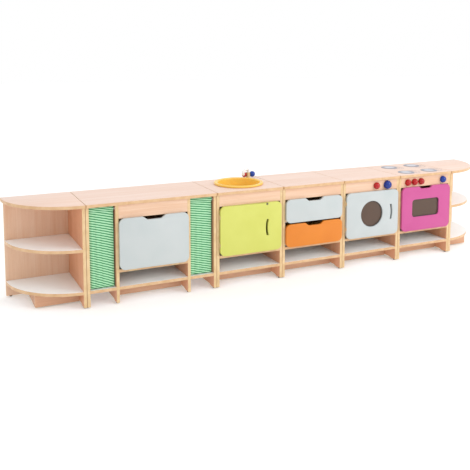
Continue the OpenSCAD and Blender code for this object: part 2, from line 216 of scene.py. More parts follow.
def mottled(name, light, dark, cloud, grain, shine, bump=0.0, drift=(0.0, 1.0),
            grit=(0.0, 1.0), **constants):
    """A material whose colour drifts in clouds, and whose gloss and bump follow a grain."""
    # cloud and grain hold noises per metre and detail, shine the lowest and highest
    # roughness, and drift and grit the stretch of noise that the colour and the gloss use.
    made, tree, shader = finish_of(name, **constants)
    place = add(tree, "ShaderNodeTexCoord").outputs["Object"]
    wide, fine = (
        add(
            tree, "ShaderNodeTexNoise", {"Vector": place, "Scale": scale, "Detail": detail}
        ).outputs["Fac"]
        for scale, detail in (cloud, grain)
    )
    share, rough = (
        add(
            tree, "ShaderNodeMapRange",
            {"Value": value, "From Min": span[0], "From Max": span[1], "To Min": low,
             "To Max": high},
        ).outputs[0]
        for value, span, (low, high) in ((wide, drift, (0.0, 1.0)), (fine, grit, shine))
    )
    colour = add(
        tree, "ShaderNodeMix", {0: share, 6: light, 7: dark}, data_type="RGBA"
    ).outputs[2]
    feed(tree, shader, Base_Color=colour, Roughness=rough)
    if bump:
        relief = add(
            tree, "ShaderNodeBump", {"Height": fine, "Strength": bump, "Distance": 0.0001}
        )
        feed(tree, shader, Normal=relief.outputs[0])
    return made


def shelf_melamine(name, light, dark):
    """Plain white melamine, hot-pressed with a fine pearl texture."""
    # Resin-soaked paper pressed against a lightly pearled plate: cool, even and satin.
    # Clouds of 120 mm and a pearl of 1.2 mm, drawn twice as coarse as the plate's.
    return mottled(
        name, light, dark, (8.0, 3.0), (800.0, 1.0), (0.34, 0.48), 0.25,
        IOR=1.5, Specular_IOR_Level=0.45,
    )


def sprayed_lacquer(name, colour, deep, shine=0.36, peel=3.0):
    """Sprayed lacquer on milled board or turned wood."""
    # Pigment in a levelled film: one flat colour with a very light orange peel, softer in its
    # reflections than glass. Colour drifts over 150 mm; the peel's bumps are as many
    # millimetres wide as peel says.
    return mottled(
        name, colour, deep, (6.5, 2.0), (1000 / peel, 2.0), (shine - 0.03, shine + 0.04), 0.15,
        drift=(0.3, 0.7), grit=(0.3, 0.7), IOR=1.5, Specular_IOR_Level=0.5,
    )


def moulded_plastic(name, colour, deep, shine=0.3, glow=0.0):
    """Injection-moulded polypropylene or ABS."""
    # Pigmented all through and cast against a polished tool: smooth, slightly waxy, with
    # light that softens in its thin walls. Flow clouds of 50 mm, a tool grain of 0.8 mm.
    return mottled(
        name, colour, deep, (20.0, 2.0), (1200.0, 1.0), (shine - 0.05, shine + 0.08), 0.12,
        IOR=1.49, Specular_IOR_Level=0.5, Subsurface_Weight=glow,
        Subsurface_Radius=(0.006, 0.004, 0.002), Subsurface_Scale=1.0,
    )


def rolled_steel(name, colour, dull, shine=0.32):
    """Zinc-plated rolled steel."""
    # A thin bright plating over a rolled sheet: grey metal with faint directionless scuffs.
    made, tree, shader = finish_of(name, Metallic=1.0)
    place = add(tree, "ShaderNodeTexCoord").outputs["Object"]
    # Spangle of 4 mm and scuffs of 0.5 mm.
    spangle = add(
        tree, "ShaderNodeTexVoronoi", {"Vector": place, "Scale": 250.0}, feature="F1"
    ).outputs["Distance"]
    scuff = add(
        tree, "ShaderNodeTexNoise", {"Vector": place, "Scale": 2000.0, "Detail": 2.0}
    ).outputs["Fac"]
    mixed = add(
        tree, "ShaderNodeMix", {0: spangle, 6: colour, 7: dull}, data_type="RGBA"
    ).outputs[2]
    rough = add(
        tree, "ShaderNodeMapRange",
        {"Value": scuff, "To Min": shine - 0.08, "To Max": shine + 0.12},
    ).outputs[0]
    feed(tree, shader, Base_Color=mixed, Roughness=rough)
    return made


def powder_coat(name, colour, deep):
    """Powder-coated steel, baked."""
    # Powder that melts into one opaque skin: satin, thicker at the edges, with a fine
    # pebbled surface and no metal showing. Pebbles of 0.9 mm on clouds of 25 mm.
    return mottled(
        name, colour, deep, (40.0, 2.0), (1100.0, 1.0), (0.42, 0.56), 0.2,
        IOR=1.5, Specular_IOR_Level=0.4,
    )


def smoked_acrylic(name, colour):
    """Cast acrylic sheet in a smoke tint, laser cut."""
    # Dyed through and polished on both faces: dark and glossy, with the inside of the cabinet
    # only guessed at behind it. Clouds of 90 mm that turn a lighter copy of the tint are painted
    # light, the lit inside seen through the pane; a wiping haze of 30 mm varies the gloss.
    # A lighter copy of the tint: painted light of the cabinet's inside seen through the pane.
    painted_inside_light = [c * 1.18 for c in colour[:3]] + [1.0]
    return mottled(
        name, colour, painted_inside_light, (11.0, 1.0), (33.0, 4.0), (0.06, 0.16),
        IOR=1.49, Transmission_Weight=0.3, Specular_IOR_Level=0.5,
    )


def ripple(tree, along, pitch):
    """A sine that comes back every pitch along a length."""
    angle = add(tree, "ShaderNodeMath", {0: along, 1: math.tau / pitch}, operation="MULTIPLY")
    return add(tree, "ShaderNodeMath", {0: angle.outputs[0]}, operation="SINE").outputs[0]


def ply_edge(name, light, dark, middle, half):
    """The cut edge of 9-ply birch, sanded and clear lacquered."""
    # Alternate plies turn their end grain to the eye, so thin dark lines run along the edge.
    made, tree, shader = finish_of(name, Roughness=0.5, IOR=1.5)
    place = add(tree, "ShaderNodeTexCoord").outputs["Object"]
    # The depth into the wall is the larger of the two distances from the box's outside.
    off = add(tree, "ShaderNodeVectorMath", {0: place, 1: middle}, operation="SUBTRACT")
    size = add(tree, "ShaderNodeVectorMath", {0: off.outputs[0]}, operation="ABSOLUTE")
    deep = add(
        tree, "ShaderNodeVectorMath", {0: size.outputs[0], 1: half}, operation="SUBTRACT"
    )
    parts = add(tree, "ShaderNodeSeparateXYZ", {0: deep.outputs[0]})
    into = add(
        tree, "ShaderNodeMath", {0: parts.outputs[0], 1: parts.outputs[1]}, operation="MAXIMUM"
    ).outputs[0]
    # One pair of plies is 2.7 mm thick.
    wave = ripple(tree, into, 2.7 * MM)
    share = add(
        tree, "ShaderNodeMapRange", {"Value": wave, "From Min": -0.2, "From Max": 0.8}
    ).outputs[0]
    colour = add(
        tree, "ShaderNodeMix", {0: share, 6: light, 7: dark}, data_type="RGBA"
    ).outputs[2]
    feed(tree, shader, Base_Color=colour)
    return made


def striped_cotton(name, light, dark, pitch, share_dark):
    """Yarn-dyed cotton, plain woven in stripes and hemmed."""
    # Dyed yarns laid in bands: soft, matt and slightly fuzzy, with crisp thin stripes and a
    # thread texture across them.
    made, tree, shader = finish_of(
        name, Roughness=0.9, IOR=1.45, Specular_IOR_Level=0.2, Sheen_Weight=0.25,
        Sheen_Roughness=0.5, Sheen_Tint=(0.85, 1.0, 0.88, 1.0),
    )
    cloth = add(tree, "ShaderNodeUVMap", uv_map="cloth").outputs[0]
    # The cloth's own map is in metres, so a stripe pair is pitch long.
    fray = add(tree, "ShaderNodeTexNoise", {"Vector": cloth, "Scale": 60.0, "Detail": 2.0})
    parts = add(tree, "ShaderNodeSeparateXYZ", {0: cloth})
    wander = add(
        tree, "ShaderNodeMath", {0: fray.outputs["Fac"], 1: pitch * 0.12, 2: parts.outputs[1]},
        operation="MULTIPLY_ADD",
    ).outputs[0]
    count = add(tree, "ShaderNodeMath", {0: wander, 1: 2 / pitch}, operation="MULTIPLY")
    place = add(tree, "ShaderNodeMath", {0: count.outputs[0], 1: 1.0}, operation="PINGPONG")
    band = add(
        tree, "ShaderNodeMapRange",
        {"Value": place.outputs[0], "From Min": share_dark - 0.1, "From Max": share_dark + 0.1,
         "To Min": 1.0, "To Max": 0.0},
    ).outputs[0]
    # Threads 0.4 mm apart are drawn 1.2 mm apart so that they show.
    warp, weft = (ripple(tree, parts.outputs[row], 1.2 * MM) for row in (0, 1))
    weave = add(tree, "ShaderNodeMath", {0: warp, 1: weft}, operation="MULTIPLY").outputs[0]
    colour = add(
        tree, "ShaderNodeMix", {0: band, 6: light, 7: dark}, data_type="RGBA"
    ).outputs[2]
    dim = add(
        tree, "ShaderNodeMapRange",
        {"Value": weave, "From Min": -1.0, "From Max": 1.0, "To Min": 0.94, "To Max": 1.0},
    ).outputs[0]
    woven = add(tree, "ShaderNodeVectorMath", {0: colour, 3: dim}, operation="SCALE").outputs[0]
    bump = add(tree, "ShaderNodeBump", {"Height": weave, "Strength": 0.4, "Distance": 0.0002})
    feed(tree, shader, Base_Color=woven, Normal=bump.outputs[0])
    return made


def hob_film(name, rim, core, centres, radius):
    """Silver-grey film on a thin aluminium disc."""
    # Matt and a little metallic: darker towards the outer ring, lighter in the middle, with fine
    # turned lines.
    made, tree, shader = finish_of(name, Metallic=0.35, Specular_IOR_Level=0.5)
    place = add(tree, "ShaderNodeTexCoord").outputs["Object"]
    near = None
    for centre in centres:
        gap = add(tree, "ShaderNodeVectorMath", {0: place, 1: centre}, operation="DISTANCE")
        reach = gap.outputs["Value"]
        near = reach if near is None else add(
            tree, "ShaderNodeMath", {0: near, 1: reach}, operation="MINIMUM"
        ).outputs[0]
    share = add(
        tree, "ShaderNodeMapRange",
        {"Value": near, "From Min": radius * 0.5, "From Max": radius * 0.72},
    ).outputs[0]
    # Turned lines 1.4 mm apart.
    line = ripple(tree, near, 1.4 * MM)
    colour = add(
        tree, "ShaderNodeMix", {0: share, 6: core, 7: rim}, data_type="RGBA"
    ).outputs[2]
    rough = add(
        tree, "ShaderNodeMapRange",
        {"Value": line, "From Min": -1.0, "From Max": 1.0, "To Min": 0.32, "To Max": 0.46},
    ).outputs[0]
    bump = add(tree, "ShaderNodeBump", {"Height": line, "Strength": 0.2, "Distance": 0.0001})
    feed(tree, shader, Base_Color=colour, Roughness=rough, Normal=bump.outputs[0])
    return made


# ------------------------------------------------------------------- shapes


def copy_of(node):
    """A clean copy of a CAD node: its doubles merged and its flat faces joined."""
    shape = bmesh.new()
    shape.from_mesh(frame["nodes"][node].data)
    bmesh.ops.remove_doubles(shape, verts=shape.verts, dist=1e-5)
    bmesh.ops.dissolve_limit(shape, angle_limit=0.01, verts=shape.verts, edges=shape.edges)
    return shape


def ease(shape, width, steps=2):
    """Rounds every hard edge of a shape."""
    hard = [e for e in shape.edges if len(e.link_faces) == 2 and e.calc_face_angle(0) > 0.5]
    bmesh.ops.bevel(
        shape, geom=hard, offset=width, segments=steps, profile=0.5, affect="EDGES",
        clamp_overlap=False,
    )


def number_boards(shape):
    """Gives each separate board of a shape its own number from 0 to 1, for its grain."""
    layer = shape.verts.layers.float.new("board")
    seen, count = set(), 0
    for first in shape.verts:
        if first in seen:
            continue
        seen.add(first)
        queue, value = [first], (count * 0.6180339887 + 0.13) % 1
        count += 1
        while queue:
            at = queue.pop()
            at[layer] = value
            for edge in at.link_edges:
                other = edge.other_vert(at)
                if other not in seen:
                    seen.add(other)
                    queue.append(other)


def arc(middle, radius, start, end, count):
    """Points of a circle's arc, from start to end degrees, as (radius, height) pairs."""
    turns = [math.radians(start + (end - start) * i / count) for i in range(count + 1)]
    return [
        (middle[0] + radius * math.cos(a), middle[1] + radius * math.sin(a)) for a in turns
    ]


def turn(shape, profile, place, steps=64):
    """Turns a closed profile of (radius, height) pairs; place puts it in the row's frame."""
    rings = []
    for radius, height in profile:
        spokes = 1 if radius < 1e-7 else steps
        rings.append([
            shape.verts.new(place @ Vector((
                radius * math.cos(math.tau * i / spokes),
                radius * math.sin(math.tau * i / spokes),
                height,
            )))
            for i in range(spokes)
        ])
    for low, high in zip(rings, rings[1:]):
        for i in range(steps):
            a, b = i % len(low), (i + 1) % len(low)
            c, d = (i + 1) % len(high), i % len(high)
            corners = [low[a], low[b], high[c], high[d]]
            if len(set(corners)) > 2:
                shape.faces.new(list(dict.fromkeys(corners)))
    bmesh.ops.recalc_face_normals(shape, faces=shape.faces)


def stand(at, axis="Z", spin=0.0):
    """A place in the row's frame whose own +Z points along axis, such as -Y."""
    turned = {
        "Z": Matrix.Identity(4),
        "-Z": Matrix.Rotation(math.pi, 4, "X"),
        "-Y": Matrix.Rotation(math.pi / 2, 4, "X"),
        "X": Matrix.Rotation(math.pi / 2, 4, "Y"),
        "-X": Matrix.Rotation(-math.pi / 2, 4, "Y"),
    }[axis]
    return Matrix.Translation(at) @ turned @ Matrix.Rotation(spin, 4, "Z")


def sweep(shape, path, radius, steps=32):
    """Sweeps a circle along a path in one upright plane, and returns its rings."""
    side = (path[1] - path[0]).cross(path[-1] - path[0]).normalized()
    rings = []
    for i, at in enumerate(path):
        ahead = (path[min(i + 1, len(path) - 1)] - path[max(i - 1, 0)]).normalized()
        up = side.cross(ahead)
        rings.append([
            shape.verts.new(
                at + radius[i] * (math.cos(math.tau * k / steps) * side
                                  + math.sin(math.tau * k / steps) * up)
            )
            for k in range(steps)
        ])
    for low, high in zip(rings, rings[1:]):
        for i in range(steps):
            j = (i + 1) % steps
            shape.faces.new([low[i], low[j], high[j], high[i]])
    return rings


def piece(name, shape, body, materials, stands_for=(), smooth=EASED):
    """Makes a finished object of a shape, and rides it on its CAD body."""
    mesh = bpy.data.meshes.new(name)
    shape.to_mesh(mesh)
    shape.free()
    for material in materials:
        mesh.materials.append(material)
    mesh.shade_smooth()
    mesh.set_sharp_from_angle(angle=math.radians(smooth))
    made = bpy.data.objects.new(name, mesh)
    bpy.context.scene.collection.objects.link(made)
    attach(made, body)
    if stands_for:
        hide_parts(*stands_for)
    return made


def turned(name, node, profile, place, steps, slot, material):
    """Turns a profile into a smooth piece that stands for a CAD node."""
    shape = bmesh.new()
    turn(shape, profile, place, steps)
    return piece(name, shape, body_of_node(node), [material], [node], smooth=40)


def refinish(node, material):
    """Gives a CAD node that stays a better material."""
    for slot in frame["nodes"][node].material_slots:
        slot.material = material


def body_of_node(node):
    """The CAD body that a node belongs to."""
    return body_of(frame["nodes"][node])[0]


def middle_of(node):
    """The middle of a CAD node's box."""
    low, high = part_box(node)
    return (low + high) / 2


def board_piece(node, axes, face, edge, width):
    """A board node with eased edges: face on its broad sides, edge on all the rest."""
    shape = copy_of(node)
    ease(shape, width)
    number_boards(shape)
    for side in shape.faces:
        broad = max(range(3), key=lambda i: abs(side.normal[i])) in axes
        flat = max(abs(c) for c in side.normal) > 0.999
        side.material_index = 0 if broad and flat else 1
    return piece(
        node + "_board", shape, body_of_node(node), [face, edge], stands_for=[node]
    )


def curtain_section(rod, hem, stitch):
    """A curtain's section: height, distance behind the rod and share of the folds' depth."""
    # From the back of the hem, down round it, up the front, over the rod's pocket and its
    # heading, and down behind the rod to the stitch line.
    rise = [hem + (stitch - hem) * i / 70 for i in range(71)]
    path = [(hem + 0.012 - 0.002 * i, 0.0013, 1.15) for i in range(6)]
    path += [(z, 0.0, 1.15 - 0.85 * ((z - hem) / (stitch - hem)) ** 3) for z in rise]
    front = ((-0.010, 0.0035), (-0.006, 0.0055), (0.0, 0.0064), (0.006, 0.0052),
             (0.0095, 0.0022), (0.0115, 0.0012), (0.0132, 0.0008))
    over = [(up, -back) for up, back in front] + [(0.0138, 0.0)]
    over += [*reversed(front), (-0.014, 0.0012)]
    return path + [(rod.z + up, back, 0.28) for up, back in over]


def curtain_cloth(s, number, low, wide, rod):
    """A curtain's folded cloth, mapped in metres, and its flat width and length."""
    hem, stitch = low.z + 0.0004, rod.z - 0.014
    columns = 24 * s.folds
    shape = bmesh.new()
    map_layer = shape.loops.layers.uv.new("cloth")
    grid, marks = [], []
    length, before = 0.0, None
    for z, back, share in curtain_section(rod, hem, stitch):
        if before is not None:
            length += math.hypot(z - before[0], back - before[1])
        before = (z, back)
        up = (z - hem) / (stitch - hem)
        fall = s.fall_low + (s.fall_high - s.fall_low) * min(max(up, 0.0), 1.0)
        fall *= s.right_share if number else 1.0
        row, mark, width = [], [], 0.0
        for i in range(columns + 1):
            u = i / columns
            lean = 0.5 * math.sin(2.1 * up + 1.7 * number)
            fold = math.tau * s.folds * u + lean + 1.1 * math.sin(3.3 * u + number)
            wave = math.cos(fold) * (0.82 + 0.18 * math.sin(5.0 * u + 2.6 * up + number))
            wave += 0.16 * math.sin(2.3 * fold + 4.0 * up)
            nudge = 0.0011 * math.sin(2 * fold) * math.sin(math.pi * u)
            at = Vector((
                low.x + wide * u + nudge * share, rod.y + back + s.depth * share * wave, z
            ))
            if row:
                width += math.hypot(at.x - row[-1].co.x, at.y - row[-1].co.y)
            row.append(shape.verts.new(at))
            mark.append((width, length + fall * wide * u))
        grid.append(row)
        marks.append(mark)
    for r in range(len(grid) - 1):
        for c in range(columns):
            ring = ((r, c), (r, c + 1), (r + 1, c + 1), (r + 1, c))
            face = shape.faces.new([grid[a][b] for a, b in ring])
            for loop, (a, b) in zip(face.loops, ring):
                loop[map_layer].uv = marks[a][b]
    return shape, (marks[MIDDLE_ROW][-1][0], length)


# ----------------------------------------------------------- geometry nodes


def tree_for(name, sizes):
    """A geometry tree with a points input, named size inputs and a material input."""
    tree = bpy.data.node_groups.new(name, "GeometryNodeTree")
    face = tree.interface
    face.new_socket("Points", in_out="INPUT", socket_type="NodeSocketGeometry")
    for label, default in sizes.items():
        kind = "NodeSocketInt" if isinstance(default, int) else "NodeSocketFloat"
        face.new_socket(label, in_out="INPUT", socket_type=kind).default_value = default
    face.new_socket("Finish", in_out="INPUT", socket_type="NodeSocketMaterial")
    face.new_socket("Geometry", in_out="OUTPUT", socket_type="NodeSocketGeometry")
    source = add(tree, "NodeGroupInput").outputs
    return tree, source


def set_out(tree, source, part):
    """Puts a part on every point, turned to the point's facing, and ends the tree."""
    facing = add(tree, "GeometryNodeInputNamedAttribute", {"Name": "facing"},
                 data_type="FLOAT_VECTOR")
    aim = add(tree, "FunctionNodeAlignRotationToVector", {"Vector": facing.outputs[0]},
              axis="Z")
    spin = add(
        tree, "FunctionNodeRandomValue", {2: 0.0, 3: math.tau, "Seed": source["Seed"]},
        data_type="FLOAT",
    )
    roll = add(tree, "ShaderNodeCombineXYZ", {2: spin.outputs[1]})
    local = add(
        tree, "FunctionNodeRotateRotation",
        {0: aim.outputs[0], 1: roll.outputs[0]}, rotation_space="LOCAL",
    )
    spread = add(
        tree, "GeometryNodeInstanceOnPoints",
        {"Points": source["Points"], "Instance": part, "Rotation": local.outputs[0]},
    )
    real = add(tree, "GeometryNodeRealizeInstances", {0: spread.outputs[0]})
    dressed = add(
        tree, "GeometryNodeSetMaterial",
        {"Geometry": real.outputs[0], "Material": source["Finish"]},
    )
    add(tree, "NodeGroupOutput", {0: dressed.outputs[0]})


def joined(tree, *parts):
    """Joins parts of a tree into one geometry."""
    whole = add(tree, "GeometryNodeJoinGeometry")
    for part in parts:
        tree.links.new(part, whole.inputs[0])
    return whole.outputs[0]


def screw_tree():
    """Screws with a shank behind the head and a cross recess in it."""
    tree, source = tree_for(
        "screws",
        {"Head Radius": 0.006, "Head Height": 0.0024, "Shank Radius": 0.0025,
         "Shank Length": 0.03, "Recess": 0.006, "Seed": 7},
    )
    head = add(
        tree, "GeometryNodeMeshCone",
        {"Vertices": 24, "Side Segments": 1, "Fill Segments": 1,
         "Radius Bottom": source["Head Radius"], "Depth": source["Head Height"]},
        fill_type="NGON",
    )
    top = add(tree, "ShaderNodeMath", {0: source["Head Radius"], 1: 0.8}, operation="MULTIPLY")
    tree.links.new(top.outputs[0], head.inputs["Radius Top"])
    cuts = []
    for across in (0, 1):
        thin = add(tree, "ShaderNodeMath", {0: source["Recess"], 1: 0.2}, operation="MULTIPLY")
        size = add(
            tree, "ShaderNodeCombineXYZ",
            {across: source["Recess"], 1 - across: thin.outputs[0], 2: 0.0024},
        )
        cuts.append(add(tree, "GeometryNodeMeshCube", {"Size": size.outputs[0]}).outputs[0])
    cross = add(tree, "GeometryNodeMeshBoolean", operation="UNION")
    for cut in cuts:
        tree.links.new(cut, cross.inputs["Mesh 2"])
    lift = add(tree, "ShaderNodeCombineXYZ", {2: source["Head Height"]})
    raised = add(
        tree, "GeometryNodeTransform", {"Geometry": cross.outputs[0],
                                        "Translation": lift.outputs[0]},
    )
    cut_head = add(
        tree, "GeometryNodeMeshBoolean", {"Mesh 1": head.outputs[0],
                                          "Mesh 2": raised.outputs[0]},
        operation="DIFFERENCE",
    )
    shank = add(
        tree, "GeometryNodeMeshCylinder",
        {"Vertices": 16, "Radius": source["Shank Radius"], "Depth": source["Shank Length"]},
        fill_type="NGON",
    )
    half = add(
        tree, "ShaderNodeMath", {0: source["Shank Length"], 1: -0.5}, operation="MULTIPLY"
    )
    down = add(tree, "ShaderNodeCombineXYZ", {2: half.outputs[0]})
    below = add(
        tree, "GeometryNodeTransform", {"Geometry": shank.outputs[0],
                                        "Translation": down.outputs[0]},
    )
    set_out(tree, source, joined(tree, cut_head.outputs[0], below.outputs[0]))
    return tree


def glide_tree():
    """Round glides: a straight shoulder on a foot that narrows to the floor."""
    tree, source = tree_for(
        "glides", {"Radius": 0.008, "Height": 0.006, "Foot": 0.85, "Seed": 3}
    )
    foot = add(
        tree, "ShaderNodeMath", {0: source["Radius"], 1: source["Foot"]}, operation="MULTIPLY"
    )
    taper = 1.5 * MM
    rest = add(
        tree, "ShaderNodeMath", {0: source["Height"], 1: taper}, operation="SUBTRACT"
    )
    low, high = (
        add(
            tree, "GeometryNodeMeshCone",
            {"Vertices": 32, "Side Segments": 1, "Fill Segments": 1, "Depth": depth,
             "Radius Top": source["Radius"], "Radius Bottom": bottom},
            fill_type="NGON",
        )
        for depth, bottom in ((taper, foot.outputs[0]), (rest.outputs[0], source["Radius"]))
    )
    raised = add(
        tree, "GeometryNodeTransform",
        {"Geometry": high.outputs[0], "Translation": (0.0, 0.0, taper)},
    )
    set_out(tree, source, joined(tree, low.outputs[0], raised.outputs[0]))
    return tree


def ring_tree():
    """Raised rings round each point, evenly spaced from the innermost to the outermost."""
    tree, source = tree_for(
        "hob rings",
        {"Inner Radius": 0.012, "Outer Radius": 0.053, "Count": 4, "Wire": 0.0005, "Seed": 0},
    )
    row = add(tree, "GeometryNodeMeshLine", {"Count": source["Count"]}, mode="END_POINTS")
    inner = add(tree, "ShaderNodeCombineXYZ", {0: source["Inner Radius"]})
    outer = add(tree, "ShaderNodeCombineXYZ", {0: source["Outer Radius"]})
    tree.links.new(inner.outputs[0], row.inputs["Start Location"])
    tree.links.new(outer.outputs[0], row.inputs["Offset"])
    place = add(tree, "GeometryNodeInputPosition")
    reach = add(tree, "ShaderNodeSeparateXYZ", {0: place.outputs[0]})
    kept = add(
        tree, "GeometryNodeStoreNamedAttribute",
        {"Geometry": row.outputs[0], "Name": "reach", "Value": reach.outputs[0]},
        data_type="FLOAT", domain="POINT",
    )
    centred = add(
        tree, "GeometryNodeSetPosition",
        {"Geometry": kept.outputs[0], "Position": (0.0, 0.0, 0.0)},
    )
    size = add(tree, "GeometryNodeInputNamedAttribute", {"Name": "reach"}, data_type="FLOAT")
    unit = add(tree, "GeometryNodeCurvePrimitiveCircle", {"Resolution": 64, "Radius": 1.0})
    rings = add(
        tree, "GeometryNodeInstanceOnPoints",
        {"Points": centred.outputs[0], "Instance": unit.outputs[0], "Scale": size.outputs[0]},
    )
    lines = add(tree, "GeometryNodeRealizeInstances", {0: rings.outputs[0]})
    wire = add(
        tree, "GeometryNodeCurvePrimitiveCircle", {"Resolution": 6, "Radius": source["Wire"]}
    )
    solid = add(
        tree, "GeometryNodeCurveToMesh",
        {"Curve": lines.outputs[0], "Profile Curve": wire.outputs[0]},
    )
    set_out(tree, source, solid.outputs[0])
    return tree


def scatter(name, tree, points, facings, body, slot, material, stands_for=(), **sizes):
    """Runs a tree on points that face their own ways, and keeps its result as a mesh."""
    dots = bpy.data.meshes.new(name + "_points")
    dots.from_pydata([tuple(p) for p in points], [], [])
    facing = dots.attributes.new("facing", "FLOAT_VECTOR", "POINT")
    facing.data.foreach_set("vector", [c for f in facings for c in f])
    carrier = bpy.data.objects.new(name + "_points", dots)
    bpy.context.scene.collection.objects.link(carrier)
    modifier = carrier.modifiers.new("set out", "NODES")
    modifier.node_group = tree
    given = {label.replace("_", " "): value for label, value in sizes.items()}
    given["Finish"] = material
    for item in tree.interface.items_tree:
        if item.in_out == "INPUT" and item.name in given:
            modifier[item.identifier] = given[item.name]
    ready = carrier.evaluated_get(bpy.context.evaluated_depsgraph_get())
    mesh = bpy.data.meshes.new_from_object(ready)
    bpy.data.objects.remove(carrier)
    shape = bmesh.new()
    shape.from_mesh(mesh)
    bpy.data.meshes.remove(mesh)
    if not shape.faces:
        raise RuntimeError(f"{name}: the tree made no faces")
    return piece(name, shape, body, [material], stands_for)


def islands(node):
    """The lowest and highest corners of each separate solid in a CAD node."""
    shape = copy_of(node)
    number_boards(shape)
    layer = shape.verts.layers.float["board"]
    groups = {}
    for vert in shape.verts:
        groups.setdefault(round(vert[layer], 6), []).append(vert.co.copy())
    shape.free()
    return [
        (Vector([min(p[i] for p in g) for i in range(3)]),
         Vector([max(p[i] for p in g) for i in range(3)]))
        for g in groups.values()
    ]


def hoop(shape, loops):
    """Joins closed loops of points in turn, and the last to the first."""
    made = [[shape.verts.new(p) for p in loop] for loop in loops]
    for one, other in zip(made, made[1:] + made[:1]):
        for i in range(len(one)):
            j = (i + 1) % len(one)
            shape.faces.new([one[i], one[j], other[j], other[i]])
    bmesh.ops.recalc_face_normals(shape, faces=shape.faces)


def rounded_outline(middle, half_wide, half_high, radius, at_y, count=10):
    """A rounded rectangle in an upright plane, as points."""
    found = []
    for quarter, (sx, sz) in enumerate(((1, 1), (-1, 1), (-1, -1), (1, -1))):
        for i in range(count + 1):
            a = math.radians(90 * quarter + 90 * i / count)
            found.append(Vector((
                middle[0] + sx * (half_wide - radius) + radius * math.cos(a),
                at_y,
                middle[2] + sz * (half_high - radius) + radius * math.sin(a),
            )))
    return found


# ----------------------------------------------------------------- settings


def colour_of(name, description, code):
    """A colour setting with an sRGB hex value as its default."""
    return FloatVectorProperty(
        name=name, description=description, default=paint(code), size=4, min=0.0, max=1.0,
        subtype="COLOR",
    )


def size_of(name, description, value, low=0.0, high=1.0):
    """A length setting in metres."""
    return FloatProperty(
        name=name, description=description, default=value, min=low, max=high, precision=4,
        subtype="DISTANCE", unit="LENGTH",
    )


class KITCHEN_PG_boards(bpy.types.PropertyGroup):
    foil_light: colour_of("Foil light", "Lighter grain of the beech foil", "#EBCBB2")
    foil_dark: colour_of("Foil dark", "Darker grain of the beech foil", "#DFB391")
    # The upright boards' foil is deeper and more saturated than the fascias' foil: painted shade
    # for the sideways faces in the bays.
    shaded_side_light: colour_of("Side light", "Lighter grain of the upright boards", "#E6AB87")
    shaded_side_dark: colour_of("Side dark", "Darker grain of the upright boards", "#D6966E")
    top_light: colour_of("Worktop light", "Lighter grain of the worktops", "#F3D9CB")
    top_dark: colour_of("Worktop dark", "Darker grain of the worktops", "#EAC7B2")
    plinth_light: colour_of("Plinth light", "Lighter grain of the plinths", "#DCAD8D")
    plinth_dark: colour_of("Plinth dark", "Darker grain of the plinths", "#CB9775")
    tape_light: colour_of("Tape light", "Lighter tone of the upright edge tape", "#E2C598")
    tape_dark: colour_of("Tape dark", "Darker tone of the upright edge tape", "#D6B484")
    lying_light: colour_of("Lying tape light", "Lighter tone of the shelves' tape", "#DDB88E")
    lying_dark: colour_of("Lying tape dark", "Darker tone of the shelves' tape", "#CFA67A")
    shelf_light: colour_of("Shelf light", "Lighter tone of the shelves", "#F7F6F4")
    shelf_dark: colour_of("Shelf dark", "Darker tone of the shelves", "#F0EFEC")
    edge: size_of("Edge rounding", "Radius of the rounded board edges", 0.0011, 0.0003, 0.003)


class KITCHEN_PG_fronts(bpy.types.PropertyGroup):
    grey: colour_of("Grey", "Flap, washing machine and upper drawer", "#C1C6C6")
    grey_deep: colour_of("Grey, deeper", "Where the grey drifts darker", "#BBC2C2")
    lime: colour_of("Lime", "Sink cupboard's door", "#CED067")
    lime_deep: colour_of("Lime, deeper", "Where the lime drifts darker", "#C8CA5D")
    orange: colour_of("Orange", "Lower drawer", "#DC801C")
    orange_deep: colour_of("Orange, deeper", "Where the orange drifts darker", "#D77A17")
    pink: colour_of("Pink", "Oven door", "#C55190")
    pink_deep: colour_of("Pink, deeper", "Where the pink drifts darker", "#BF4B8A")
    window: colour_of("Windows", "Tint of the acrylic windows", "#5E4636")
    round: size_of("Front rounding", "Radius of the fronts' eased edges", 0.0022, 0.0005, 0.004)


class KITCHEN_PG_curtains(bpy.types.PropertyGroup):
    light: colour_of("Light stripe", "Colour of the wider stripe", "#AEE0B6")
    dark: colour_of("Dark stripe", "Colour of the narrower stripe", "#2E8652")
    pitch: size_of("Stripe pitch", "Length of one pair of stripes", 0.0142, 0.004, 0.04)
    narrow: FloatProperty(
        name="Dark share", description="Share of the pitch that the dark stripe takes",
        default=0.4, min=0.1, max=0.9, subtype="FACTOR",
    )
    fall_low: FloatProperty(
        name="Fall at the hem", description="Drop of a stripe per unit of width, at the hem",
        default=0.42, min=-1, max=1,
    )
    fall_high: FloatProperty(
        name="Fall at the rod", description="Drop of a stripe per unit of width, at the rod",
        default=0.23, min=-1, max=1,
    )
    right_share: FloatProperty(
        name="Right curtain's fall", description="Share of the fall that the right curtain has",
        default=0.64, min=0, max=2, subtype="FACTOR",
    )
    folds: IntProperty(
        name="Folds", description="Number of folds across a curtain", default=4, min=1, max=12
    )
    depth: size_of("Fold depth", "Half of the folds' depth", 0.0018, 0.0, 0.008)
    cloth: size_of("Cloth thickness", "Thickness of the cloth", 0.0006, 0.0002, 0.002)


